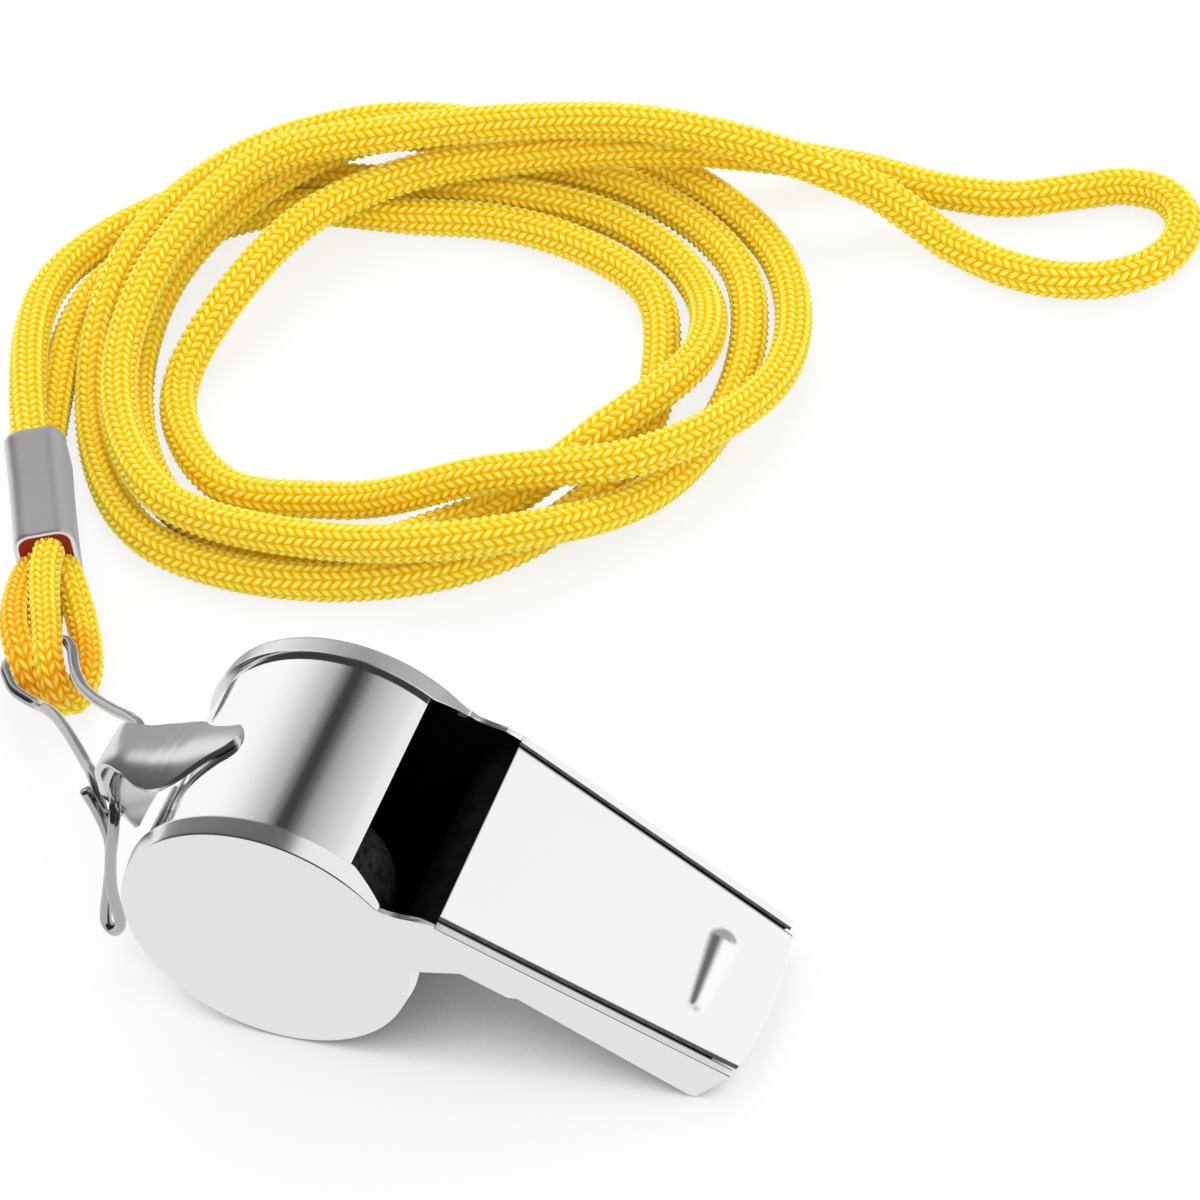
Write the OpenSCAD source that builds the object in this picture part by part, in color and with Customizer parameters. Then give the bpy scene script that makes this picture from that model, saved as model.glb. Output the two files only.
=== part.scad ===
// Pea whistle of bright sheet steel, with its cork pea, lug, wire clip and doubled neck cord.
// Millimetres. Z is up, X runs toward the mouthpiece, Y runs along the barrel's axis.
// The whistle stands on the barrel's rim and on the two lower corners of the mouthpiece.

/* [Barrel] */
// Diameter of the two side discs
disc_d = 23; // [18:0.5:32]
// Width of the whistle over its side plates
whistle_w = 20; // [16:0.5:28]
// Thickness of the sheet steel
sheet = 0.45; // [0.3:0.05:0.6]
// How far each side plate laps over the barrel
lap_w = 1.7; // [1:0.1:2.5]
// Angle of the lip of the window, above the level of the barrel's axis
lip_angle = 47.7; // [44:0.1:52]

/* [Mouthpiece] */
// Distance from the foot of the barrel's axis to the window's straight edge
window_edge = 9.2; // [8.6:0.1:10]
// Distance from the foot of the barrel's axis to the middle of the blown end
mouth_reach = 34.5; // [28:0.5:42]
// Depth of the mouthpiece under the window's straight edge
throat_depth = 3.4; // [3:0.1:3.8]
// Depth of the mouthpiece at the blown end
tip_depth = 4.1; // [3.6:0.1:4.8]
// Width lost on each side from the discs to the blown end
side_taper = 2.1; // [1:0.1:2.6]
// Width of the side plates' folds that hold the top plate
fold_w = 0.8; // [0.6:0.1:1.2]
// Radius of the curved blown end, seen from above
tip_bow_r = 33; // [26:1:60]
// Height of the air slit under the window's straight edge
slit_h = 1; // [0.7:0.1:1.3]
// Length of the raised grip bar
grip_l = 8.2; // [5:0.2:10]
// Width of the raised grip bar
grip_w = 2.2; // [1.6:0.1:3]
// Height of the raised grip bar
grip_h = 0.45; // [0.3:0.05:0.6]

/* [Pea] */
// Diameter of the cork pea
pea_d = 11; // [8:0.5:12]

/* [Lug and clip] */
// Thickness of the lug's strap
lug_t = 0.5; // [0.4:0.05:0.7]
// Greatest half width of the lug's leaf
lug_half_w = 4.1; // [3:0.1:5]
// Diameter of the clip's wire
wire_d = 0.9; // [0.7:0.05:1]

/* [Neck cord] */
// Diameter of the neck cord's body, inside its stitches
cord_d = 2.8; // [2.4:0.1:2.8]
// Diameter of the cord where it is pulled tight in its two eyes
eye_d = 1.8; // [1.6:0.1:2]
// Length of the crimped sleeve
sleeve_l = 12.2; // [10:0.2:14]
// Width of the crimped sleeve
sleeve_w = 5; // [4.6:0.1:6]
// Height of the crimped sleeve
sleeve_h = 6.6; // [6.4:0.1:7.4]
// Wall of the crimped sleeve
sleeve_wall = 0.4; // [0.3:0.05:0.5]

/* [Hidden] */
$fn = 96;
overrun = 1;
fit = 0.05;

disc_r = disc_d / 2;
half_w = whistle_w / 2;
shell_r = disc_r - sheet;
bore_r = shell_r - sheet;
inner_half_w = half_w - sheet;

// Mouthpiece frame: u runs from the foot of the barrel's axis to the blown end, v is its upward normal
tip_setback = 0.85;
tip_half_w = half_w - side_taper;
tip_sag = tip_bow_r - sqrt(tip_bow_r * tip_bow_r - tip_half_w * tip_half_w);
rest_u = mouth_reach - tip_sag - tip_setback;
rest_v = disc_r - tip_depth;
pitch = atan2(rest_v, rest_u) + asin(disc_r / norm([rest_u, rest_v]));
function mouth_point(u, v) =
    [u * cos(pitch) + v * sin(pitch), disc_r - u * sin(pitch) + v * cos(pitch)];

// Lug: middle line of the strap, in the upright middle plane
lug_foot_r = shell_r + lug_t / 2;
lug_start = 111;
lug_leave = 140;
lug_fillet_r = 3;
lug_crest_r = 1.25;
lug_heel_r = 0.95;
lug_reach = disc_r + 3.95;
lug_crest_z = disc_r + 5.6;
lug_heel_z = disc_r + 3.7;
lug_leg_back = 1.75;
lug_leg_rise = 0.25;
lug_fillet_start = lug_leave + 172;
lug_fillet_end = 250;
lug_crest_start = 82;
lug_heel_end = 215;
leaf_tip = lug_foot_r * cos(lug_start);
leaf_l = lug_reach + leaf_tip + lug_crest_r / 2;
leaf_half_share = [[0, 0], [0.05, 0.2], [0.12, 0.42], [0.3, 0.76], [0.45, 0.99], [0.53, 1],
                   [0.65, 0.88], [0.75, 0.7], [0.88, 0.58], [1.02, 0.56]];

// The part's origin lies under the middle of the whistle's length
whistle_front = mouth_point(mouth_reach, disc_r)[0];
whistle_back = -lug_reach - lug_t / 2;
middle_x = (whistle_front + whistle_back) / 2;

// Clip: the pivot inside the lug's crest. The route of the wire is measured from the barrel's foot,
// as drawn about drawn_pivot, and follows the lug where the barrel's size moves the pivot
pivot_back = 2.9;
pivot_rise = 4.5;
pivot = [-disc_r - pivot_back, 0, disc_r + pivot_rise];
drawn_pivot = [-14.4, 0, 16];
hang_x = pivot[0] - drawn_pivot[0];
wire_route = [
    [-13.75, -2.95, 14.6], [-14.3, -3.3, 14], [-15.2, -3.1, 13.6], [-16.3, -1.6, 14.1],
    [-17, -0.6, 14.2], [-19.2, 2.2, 12.6], [-21.4, 4.8, 11.2], [-23.8, 7.6, 9.4],
    [-25.9, 9.9, 7.8], [-27.7, 11.6, 6.4], [-29.7, 13.4, 4.5], [-31.1, 14.1, 4.2],
    [-32.3, 14.8, 4], [-33.3, 15.9, 3.8], [-34.1, 17.1, 3.6], [-34.1, 18.3, 3.5],
    [-33, 19.3, 3.5], [-31.7, 20.4, 3.5], [-30.7, 21, 3.6], [-29.8, 20.3, 3.8],
    [-28.7, 18.5, 4.4], [-27.3, 16.3, 5.4], [-25.9, 14.6, 6.2], [-23.8, 12.6, 7.6],
    [-20.6, 9.8, 10.1], [-17, 6.5, 13.4], [-15.2, 4.4, 15.2], [-14.4, 2.5, 16],
    [-14.4, 0, 16], [-14.4, -1.9, 16], [-13.7, -3.5, 16.5], [-13.2, -4.6, 16.6],
    [-13.1, -5.3, 16], [-13.3, -5.6, 14.7], [-13.8, -5.7, 12.7], [-14.3, -5.7, 10.3],
    [-14.6, -5.7, 7.9], [-14.6, -5.7, 5.9], [-14.6, -5.7, 4.5], [-15, -5.5, 3.4],
    [-15.8, -5.2, 2.6], [-16.3, -5, 3], [-16.3, -4.7, 4], [-15.9, -4.6, 5.7],
    [-15.4, -4.5, 7.7], [-14.7, -4.5, 10.7], [-14.4, -4.6, 13], [-14.6, -4.6, 14.9],
    [-15, -4.5, 16.4], [-15.5, -4.4, 17.7]];

// Crimped sleeve: where it lies, and the way that it points
sleeve_mid = [-38.25, 34.4];
sleeve_turn = -63;
sleeve_round = 1.5;
function sleeve_point(along, across, z) =
    [sleeve_mid[0] + along * cos(sleeve_turn) - across * sin(sleeve_turn),
     sleeve_mid[1] + along * sin(sleeve_turn) + across * cos(sleeve_turn), z];

// Loose coil of the neck cord: each row is a distance from the coil's middle and a height,
// one row for every coil_step degrees, going round from coil_start
coil_mid = [-14, 62];
coil_start = 210;
coil_step = 30;
first_strand = [
    [33.1, 1.6], [30.4, 1.6], [22.8, 1.6], [15.2, 1.6], [14, 1.6], [14.8, 1.6],
    [17.5, 1.6], [19, 1.6], [22.5, 1.6], [26, 1.6], [28.7, 1.6], [31.4, 1.6],
    [29.5, 1.6], [27.6, 5.3], [26.1, 5.3], [25.6, 3.5], [25, 1.6], [26.2, 1.6],
    [28.6, 1.6], [29.2, 3.3], [26.5, 6.1], [20.8, 5.5], [19.5, 1.8], [23.4, 1.6],
    [22.3, 1.6], [17.4, 4.6], [16.5, 5], [16.7, 5], [18.6, 5], [25.4, 5.4]];
second_strand = [
    [34.4, 5], [33.8, 2.7], [27.2, 1.6], [19.3, 1.6], [17.5, 1.6], [18.9, 1.6],
    [21.3, 1.6], [22.6, 4.3], [21, 5], [21, 1.6], [25.3, 1.6], [27.8, 1.6],
    [26, 1.6], [24.2, 3.6], [22.5, 5], [22.2, 5], [21.4, 1.6], [22.8, 1.6],
    [25.1, 1.6], [25.7, 1.6], [26.8, 2.1], [27.3, 5.1], [27.2, 4.9], [29.3, 4.9],
    [26.8, 5], [23.6, 7.3], [21.5, 8.4], [18.3, 8.4], [19.1, 8.5], [24.3, 8.8]];
end_loop = [
    [12.7, 88.7, 1.6], [21.4, 87.7, 1.6], [27.3, 88, 1.6], [32.3, 90, 1.6], [36, 91.4, 1.6],
    [39.3, 91.1, 1.6], [41.6, 89, 1.6], [42.1, 86, 1.6], [40.9, 82.9, 1.6], [38, 80.6, 1.6],
    [33.7, 79.5, 1.6], [28.8, 79.9, 1.6], [24, 81.6, 1.6], [20.4, 83.2, 2.4], [17, 84, 3.9],
    [12.5, 83.5, 6.1]];
coil_rings = 24;
eye_rings = 3;
wire_rings = 3;
strand_high = 5;
strand_low = 1.6;
strand_side = 0.6;

// Two eyes of cord below the sleeve, round the base of the clip. The pairs are the places across the
// sleeve, and the heights, where each one leaves the sleeve and comes back into it
upper_eye_out = [0.35, 4.9];
upper_eye_back = [1.1, 2.9];
lower_eye_out = [-1, 3.4];
lower_eye_back = [-0.35, 1.5];
upper_eye = [
    [-34.6, 26.9, 5.1], [-33.3, 23.7, 5.3], [-31.4, 19.8, 5.5], [-30.3, 17.4, 5.3], [-29.6, 16.3, 4.4],
    [-29.1, 15.9, 3.2], [-28.6, 16.5, 2], [-28.4, 17.8, 1.6], [-28.6, 19.7, 1.6], [-29.7, 22.3, 1.6],
    [-31.4, 25.2, 1.7], [-33, 27.5, 2.3]];
lower_eye = [
    [-36.2, 26.2, 4], [-35.5, 23.4, 4.7], [-34.4, 20.5, 5.3], [-33.2, 18.4, 5.4], [-32.3, 17.2, 5],
    [-31.7, 16.6, 4], [-31.4, 16.6, 2.7], [-31.5, 17.4, 1.8], [-32.1, 19.2, 1.5], [-33.3, 22.2, 1.5],
    [-34.7, 26, 1.5]];

// Vector helpers
function unit(v) = v / norm(v);
function last(list) = list[len(list) - 1];
function backward(list) = [for (i = [len(list) - 1:-1:0]) list[i]];
function arc_points(mid, r, from, to, steps) =
    [for (i = [0:steps]) mid + r * [cos(from + (to - from) * i / steps), sin(from + (to - from) * i / steps)]];

// Smooth route through the points, with steps points on the way from each one to the next
function slope_at(p, i) = let (
        n = len(p) - 1,
        a = i == 0 ? p[1] - p[0] : p[i] - p[i - 1],
        b = i == n ? p[n] - p[n - 1] : p[i + 1] - p[i])
    (a * norm(b) / norm(a) + b * norm(a) / norm(b)) / (norm(a) + norm(b));
function between(p, i, t) = let (
        span = norm(p[i + 1] - p[i]),
        t2 = t * t,
        t3 = t2 * t)
    p[i] * (2 * t3 - 3 * t2 + 1) + p[i + 1] * (3 * t2 - 2 * t3)
    + slope_at(p, i) * span * (t3 - 2 * t2 + t) + slope_at(p, i + 1) * span * (t3 - t2);
function smooth_route(p, steps) =
    [for (i = [0:len(p) - 2]) for (k = [0:steps - 1]) between(p, i, k / steps), last(p)];
function not_below(p, z) = [for (q = p) [q[0], q[1], max(q[2], z)]];

// Tube along a route, with its section turned as little as possible from ring to ring
function headings(p) = let (n = len(p) - 1)
    [for (i = [0:n]) unit(p[min(i + 1, n)] - p[max(i - 1, 0)])];
function across_all(t) =
    [for (i = 0, a = unit(cross(t[0], [0, 0, 1])); i < len(t);
          i = i + 1, a = i < len(t) ? unit(a - (a * t[i]) * t[i]) : a) a];
module tube(p, d, sides) {
    t = headings(p);
    a = across_all(t);
    rings = [for (i = [0:len(p) - 1]) for (k = [0:sides - 1])
        p[i] + d / 2 * (cos(360 * k / sides) * a[i] + sin(360 * k / sides) * cross(a[i], t[i]))];
    n = len(p);
    walls = [for (i = [0:n - 2]) for (k = [0:sides - 1]) let (j = (k + 1) % sides, m = i * sides)
        each [[m + k, m + j, m + sides + k], [m + j, m + sides + j, m + sides + k]]];
    ends = [for (k = [1:sides - 2]) each
        [[0, k + 1, k], [(n - 1) * sides, (n - 1) * sides + k, (n - 1) * sides + k + 1]]];
    polyhedron(rings, concat(walls, ends));
}

// Whole route of the neck cord, from one end in the sleeve to the other
function coil_point(i, row) =
    [coil_mid[0] + row[0] * cos(coil_start - i * coil_step),
     coil_mid[1] + row[0] * sin(coil_start - i * coil_step), row[1]];
function strand(rows) = [for (i = [0:len(rows) - 1]) coil_point(i, rows[i])];
function lead(across, z) = [for (out = [0, cord_d]) sleeve_point(-sleeve_l / 2 - out, across, z)];
cord_points = concat(lead(strand_side, strand_low), strand(first_strand), end_loop,
                     backward(strand(second_strand)), backward(lead(-strand_side / 2, strand_high)));
cord_route = not_below(smooth_route(cord_points, coil_rings * coil_step / 360), strand_low);

// Everything is drawn about the barrel and then set over the part's origin
module set_over_origin() {
    translate([-middle_x, 0, 0]) children();
}
module hung_from_pivot() {
    set_over_origin() translate([hang_x, 0, 0]) children();
}
module upright(width) {
    rotate([90, 0, 0]) linear_extrude(width, center = true) children();
}
module in_mouth_frame() {
    translate([0, 0, disc_r]) rotate([0, pitch, 0]) children();
}
module over_barrel_axis() {
    translate([0, 0, disc_r]) rotate([90, 0, 0]) children();
}

// Keeps what lies behind the curved blown end
module behind_blown_end() {
    in_mouth_frame() translate([mouth_reach, 0, disc_r])
        rotate([0, atan2(tip_setback, tip_depth), 0]) translate([-tip_bow_r, 0, 0])
            cylinder(r = tip_bow_r, h = 4 * mouth_reach, center = true);
}

// Space between planes set in from the tapering sides, seen from above
module between_sides(inset) {
    bend_x = disc_r - lap_w;
    end_x = mouth_point(rest_u, rest_v)[0] + 4 * overrun;
    slope = side_taper / (mouth_point(rest_u, rest_v)[0] - bend_x);
    bend_half = half_w - inset;
    end_half = bend_half - slope * (end_x - bend_x);
    translate([0, 0, -overrun]) linear_extrude(disc_d + 2 * overrun)
        polygon([[-disc_d, -bend_half], [bend_x, -bend_half], [end_x, -end_half], [end_x, end_half],
                 [bend_x, bend_half], [-disc_d, bend_half]]);
}

// Places on the underside of the mouthpiece
knee_back = 0.3;
knee_u = window_edge + throat_depth + knee_back;
step_reach = 8.2;
step_u = window_edge + step_reach;
step_h = 0.35;
step_run = 0.6;
floor_top_v = disc_r - throat_depth + sheet;
notch_angle = -3;

module barrel_profile() {
    knee = mouth_point(knee_u, disc_r - throat_depth);
    knee_in = mouth_point(knee_u, floor_top_v);
    tip = mouth_point(rest_u - fit, rest_v + fit);
    tip_in = mouth_point(rest_u - fit, rest_v + sheet + fit);
    start = [shell_r * cos(notch_angle), disc_r + shell_r * sin(notch_angle)];
    start_in = [bore_r, disc_r];
    difference() {
        translate([0, disc_r]) circle(shell_r);
        translate([0, disc_r]) circle(bore_r);
        translate([0, disc_r])
            polygon([[0, 0], [disc_d, 0], disc_d * [1, 1],
                     disc_d * [cos(lip_angle), sin(lip_angle)]]);
    }
    polygon([start, knee, tip, tip_in, knee_in, start_in]);
}

module barrel_strip() {
    color("gainsboro") set_over_origin() intersection() {
        upright(whistle_w) barrel_profile();
        between_sides(sheet);
    }
}

// Raised bar across the top plate: a rod with round ends, sunk so that it shows grip_w wide
grip_reach = 20;
grip_round_share = 0.62;
module grip_bar(grow) {
    bar_r = grip_w * grip_round_share;
    sink = sqrt(bar_r * bar_r - grip_w * grip_w / 4);
    core = grip_l / 2 - sqrt(bar_r * bar_r - sink * sink);
    translate([0, 0, grip_h + grow - bar_r]) {
        rotate([90, 0, 0]) cylinder(r = bar_r, h = 2 * core, center = true);
        for (side = [-1, 1]) translate([0, side * core, 0]) sphere(bar_r);
    }
}

module mouthpiece_top() {
    grip_u = window_edge + grip_reach;
    color("gainsboro") set_over_origin() intersection() {
        in_mouth_frame() difference() {
            union() {
                translate([window_edge, -half_w, disc_r - sheet])
                    cube([mouth_reach, whistle_w, sheet]);
                intersection() {
                    translate([grip_u, 0, disc_r]) grip_bar(0);
                    translate([window_edge, -half_w, disc_r - sheet])
                        cube([mouth_reach, whistle_w, sheet + grip_h + fit]);
                }
            }
            translate([grip_u, 0, disc_r]) grip_bar(-sheet);
        }
        between_sides(fold_w + fit);
        behind_blown_end();
    }
}

module windway_ramp() {
    roof_v = disc_r - sheet - slit_h;
    ramp_back = window_edge + throat_depth;
    ramp_end = ramp_back + 2 * throat_depth;
    color("silver") set_over_origin() intersection() {
        difference() {
            upright(whistle_w) polygon([
                mouth_point(window_edge, roof_v), mouth_point(ramp_back, roof_v),
                mouth_point(ramp_end, floor_top_v + fit), mouth_point(knee_u, floor_top_v + fit),
                [bore_r, disc_r + fit]]);
            over_barrel_axis() cylinder(r = shell_r, h = disc_d, center = true);
        }
        between_sides(sheet + fit);
    }
}

// Outline of a side panel, from inside the disc's rim over the neck and the shoulder to the blown end
module side_outline() {
    rim_angle = 32.5;
    root_r = disc_r - 3 * sheet;
    neck_back = 3.3;
    neck_rise = 0.7;
    shoulder_back = 0.6;
    shoulder_rise = 0.4;
    shoulder = mouth_point(window_edge, disc_r);
    polygon([
        root_r * [cos(rim_angle), sin(rim_angle)] + [0, disc_r],
        (disc_r + fit) * [cos(rim_angle), sin(rim_angle)] + [0, disc_r],
        shoulder + [-neck_back, neck_rise],
        shoulder + [-shoulder_back, shoulder_rise],
        shoulder,
        mouth_point(mouth_reach, disc_r),
        mouth_point(mouth_reach, rest_v),
        mouth_point(rest_u - overrun, rest_v + fit / 2),
        mouth_point(step_u, disc_r - throat_depth + step_h - fit),
        mouth_point(step_u - step_run, disc_r - throat_depth - fit),
        mouth_point(knee_u, disc_r - throat_depth),
        (disc_r + fit) * [cos(notch_angle + 1), sin(notch_angle + 1)] + [0, disc_r],
        root_r * [cos(notch_angle + 1), sin(notch_angle + 1)] + [0, disc_r]]);
}

// Half section of the pan: the disc, and the rim that rolls over the barrel
module pan_section() {
    rim_round = 0.25;
    difference() {
        union() {
            translate([0, half_w - lap_w]) square([disc_r - rim_round, lap_w]);
            translate([0, half_w - lap_w]) square([disc_r, lap_w - rim_round]);
            translate([disc_r - rim_round, half_w - rim_round]) circle(rim_round);
        }
        translate([-disc_d, 0]) square([disc_d, whistle_w]);
        translate([-disc_d, -inner_half_w]) square([disc_d + shell_r, 2 * inner_half_w]);
    }
}

// One side plate, drawn on the near side: a shallow pan, a side panel and the fold over the top plate
module side_plate() {
    lap_start = 34;
    union() {
        difference() {
            over_barrel_axis() rotate_extrude() pan_section();
            upright(whistle_w - 2 * sheet) translate([0, disc_r])
                polygon([[0, 0], disc_d * [cos(notch_angle), sin(notch_angle)], disc_d * [1, 0.5],
                         disc_d * [cos(lap_start), sin(lap_start)]]);
        }
        side_arm();
    }
}

// The side panel of the mouthpiece, with its fold over the top plate
module side_arm() {
    difference() {
        intersection() {
            upright(whistle_w) side_outline();
            between_sides(0);
            translate([0, -whistle_w, 0]) cube([2 * mouth_reach, whistle_w, disc_d]);
            behind_blown_end();
        }
        between_sides(fold_w);
        intersection() {
            between_sides(sheet);
            in_mouth_frame() {
                translate([-disc_d, -whistle_w, -disc_d])
                    cube([disc_d + window_edge, 2 * whistle_w, 2 * disc_d]);
                translate([0, -whistle_w, -disc_d])
                    cube([2 * mouth_reach, 2 * whistle_w, disc_d + disc_r - sheet]);
            }
        }
    }
}

module near_side_plate() {
    color("whitesmoke") set_over_origin() side_plate();
}

module far_side_plate() {
    color("whitesmoke") set_over_origin() mirror([0, 1, 0]) side_plate();
}

// Middle line of the lug: foot on the barrel, fillet, leaf, crest, heel and the leg that closes the hook
function lug_line() = let (
        axis = [0, disc_r],
        leave = axis + lug_foot_r * [cos(lug_leave), sin(lug_leave)],
        fillet_mid = leave + lug_fillet_r * [cos(lug_leave), sin(lug_leave)],
        crest_mid = [-lug_reach + lug_crest_r, lug_crest_z],
        heel_mid = [-lug_reach + lug_heel_r, lug_heel_z])
    concat(
        arc_points(axis, lug_foot_r, lug_start, lug_leave, 6),
        arc_points(fillet_mid, lug_fillet_r, lug_fillet_start, lug_fillet_end, 6),
        arc_points(crest_mid, lug_crest_r, lug_crest_start, 180, 7),
        arc_points(heel_mid, lug_heel_r, 180, lug_heel_end, 6),
        [[-disc_r - lug_leg_back, disc_r + lug_leg_rise]]);
function sideways(p, reach) = let (n = len(p) - 1)
    [for (i = [0:n]) let (t = unit(p[min(i + 1, n)] - p[max(i - 1, 0)])) p[i] + reach * [-t[1], t[0]]];

module lanyard_lug() {
    line = lug_line();
    color("silver") set_over_origin() intersection() {
        upright(4 * lug_half_w)
            polygon(concat(sideways(line, lug_t / 2), backward(sideways(line, -lug_t / 2))));
        union() {
            translate([0, 0, pivot[2]]) linear_extrude(disc_d)
                polygon(concat([for (s = leaf_half_share) [leaf_tip - leaf_l * s[0], lug_half_w * s[1]]],
                               [for (s = backward(leaf_half_share))
                                   [leaf_tip - leaf_l * s[0], -lug_half_w * s[1]]]));
            translate([-disc_d, -lug_half_w * last(leaf_half_share)[1], 0])
                cube([disc_d, 2 * lug_half_w * last(leaf_half_share)[1], pivot[2]]);
        }
    }
}

// The pea lies at the bottom of the chamber
module cork_pea() {
    pea_orbit = bore_r - pea_d / 2 - 2 * fit;
    color("sienna") set_over_origin() translate([0, 0, disc_r - pea_orbit]) sphere(d = pea_d);
}

module wire_clip() {
    route = [for (p = wire_route) [p[0], p[1], p[2] * pivot[2] / drawn_pivot[2]]];
    color("lightgray") hung_from_pivot() tube(smooth_route(route, wire_rings), wire_d, 12);
}

module sleeve_block(inset, long) {
    w = sleeve_w - 2 * inset;
    h = sleeve_h - 2 * inset;
    r = sleeve_round - inset;
    translate([sleeve_mid[0], sleeve_mid[1], sleeve_h / 2]) rotate([0, 0, sleeve_turn])
        rotate([90, 0, 90]) linear_extrude(long, center = true) {
            square([w, h - 2 * r], center = true);
            square([w - 2 * r, h], center = true);
            for (x = [-1, 1]) for (y = [-1, 1])
                translate([x * (w / 2 - r), y * (h / 2 - r)]) circle(r);
        }
}

module crimp_sleeve() {
    color("darkgray") hung_from_pivot() difference() {
        sleeve_block(0, sleeve_l);
        sleeve_block(sleeve_wall, sleeve_l + 2 * overrun);
    }
}

module crimped_cord_core() {
    color("orange") hung_from_pivot() sleeve_block(sleeve_wall, sleeve_l);
}

// Each eye is one end of the cord: it leaves the sleeve, goes round the clip's base and comes back
module upper_cord_eye() {
    out = sleeve_point(sleeve_l / 2, upper_eye_out[0], upper_eye_out[1]);
    back = sleeve_point(sleeve_l / 2, upper_eye_back[0], upper_eye_back[1]);
    color("gold") hung_from_pivot()
        tube(smooth_route(concat([out], upper_eye, [back]), eye_rings), eye_d, 8);
}

module lower_cord_eye() {
    out = sleeve_point(sleeve_l / 2, lower_eye_out[0], lower_eye_out[1]);
    back = sleeve_point(sleeve_l / 2, lower_eye_back[0], lower_eye_back[1]);
    color("gold") hung_from_pivot()
        tube(smooth_route(concat([out], lower_eye, [back]), eye_rings), eye_d, 8);
}

module neck_cord() {
    color("gold") hung_from_pivot() tube(cord_route, cord_d, 6);
}

barrel_strip();
mouthpiece_top();
windway_ramp();
near_side_plate();
far_side_plate();
lanyard_lug();
cork_pea();
wire_clip();
crimp_sleeve();
crimped_cord_core();
upper_cord_eye();
lower_cord_eye();
neck_cord();
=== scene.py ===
from math import asin, atan2, cos, degrees, hypot, pi, radians, sin, sqrt

import bmesh
import bpy
import numpy as np
from mathutils import Matrix, Vector


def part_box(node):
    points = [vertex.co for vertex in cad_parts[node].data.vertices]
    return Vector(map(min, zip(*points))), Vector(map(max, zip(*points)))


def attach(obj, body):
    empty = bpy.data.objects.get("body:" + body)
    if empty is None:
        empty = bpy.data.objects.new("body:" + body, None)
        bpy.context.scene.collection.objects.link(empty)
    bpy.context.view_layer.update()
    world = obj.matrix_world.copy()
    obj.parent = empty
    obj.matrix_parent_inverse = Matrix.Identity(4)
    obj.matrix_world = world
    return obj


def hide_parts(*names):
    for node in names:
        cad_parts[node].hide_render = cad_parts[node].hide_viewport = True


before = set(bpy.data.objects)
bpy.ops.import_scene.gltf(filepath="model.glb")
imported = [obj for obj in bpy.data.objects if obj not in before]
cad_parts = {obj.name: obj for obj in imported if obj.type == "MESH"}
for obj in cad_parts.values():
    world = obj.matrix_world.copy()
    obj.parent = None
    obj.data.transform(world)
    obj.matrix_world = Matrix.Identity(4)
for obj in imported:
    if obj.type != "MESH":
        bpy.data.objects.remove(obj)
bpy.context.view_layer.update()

# Sizes of the whistle, in metres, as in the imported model
MM = 0.001
DISC_R = 11.5 * MM
HALF_W = 10 * MM
SHEET = 0.45 * MM
SHELL_R = DISC_R - SHEET
LAP_W = 1.7 * MM
LIP_ANGLE = 47.7
WINDOW_EDGE = 9.2 * MM
MOUTH_REACH = 34.5 * MM
THROAT_DEPTH = 3.4 * MM
TIP_DEPTH = 4.1 * MM
TIP_SETBACK = 0.85 * MM
TIP_BOW_R = 33 * MM
SIDE_TAPER = 2.1 * MM
FOLD_W = 0.8 * MM
SEAM = 0.16 * MM
FIT = 0.05 * MM

# Sizes and places of the cord, its eyes, the sleeve and the clip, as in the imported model
CORD_D = 3.25 * MM
EYE_D = 2.7 * MM
WIRE_D = 0.9 * MM
SLEEVE_L = 12.2 * MM
SLEEVE_W = 5 * MM
SLEEVE_H = 6.6 * MM
SLEEVE_WALL = 0.4 * MM
SLEEVE_ROUND = 1.5 * MM
SLEEVE_MID = (-38.25 * MM, 34.4 * MM)
SLEEVE_TURN = radians(-63)
COIL_MID = (-14 * MM, 62 * MM)
COIL_START = 210
COIL_STEP = 30
# Each strand is radii and heights at steady steps round COIL_MID, and the other routes are
# points from the barrel's foot, all in millimetres
FIRST_STRAND = [
    (33.1, 1.6), (30.4, 1.6), (22.8, 1.6), (15.2, 1.6), (14, 1.6), (14.8, 1.6),
    (17.5, 1.6), (19, 1.6), (22.5, 1.6), (26, 1.6), (28.7, 1.6), (31.4, 1.6),
    (29.5, 1.6), (27.6, 5.3), (26.1, 5.3), (25.6, 3.5), (25, 1.6), (26.2, 1.6),
    (28.6, 1.6), (29.2, 3.3), (26.5, 6.1), (20.8, 5.5), (19.5, 1.8), (23.4, 1.6),
    (22.3, 1.6), (17.4, 4.6), (16.5, 5), (16.7, 5), (18.6, 5), (25.4, 5.4)]
SECOND_STRAND = [
    (34.4, 5), (33.8, 2.7), (27.2, 1.6), (19.3, 1.6), (17.5, 1.6), (18.9, 1.6),
    (21.3, 1.6), (22.6, 4.3), (21, 5), (21, 1.6), (25.3, 1.6), (27.8, 1.6),
    (26, 1.6), (24.2, 3.6), (22.5, 5), (22.2, 5), (21.4, 1.6), (22.8, 1.6),
    (25.1, 1.6), (25.7, 1.6), (26.8, 2.1), (27.3, 5.1), (27.2, 4.9), (29.3, 4.9),
    (26.8, 5), (23.6, 7.3), (21.5, 8.4), (18.3, 8.4), (19.1, 8.5), (24.3, 8.8)]
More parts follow.
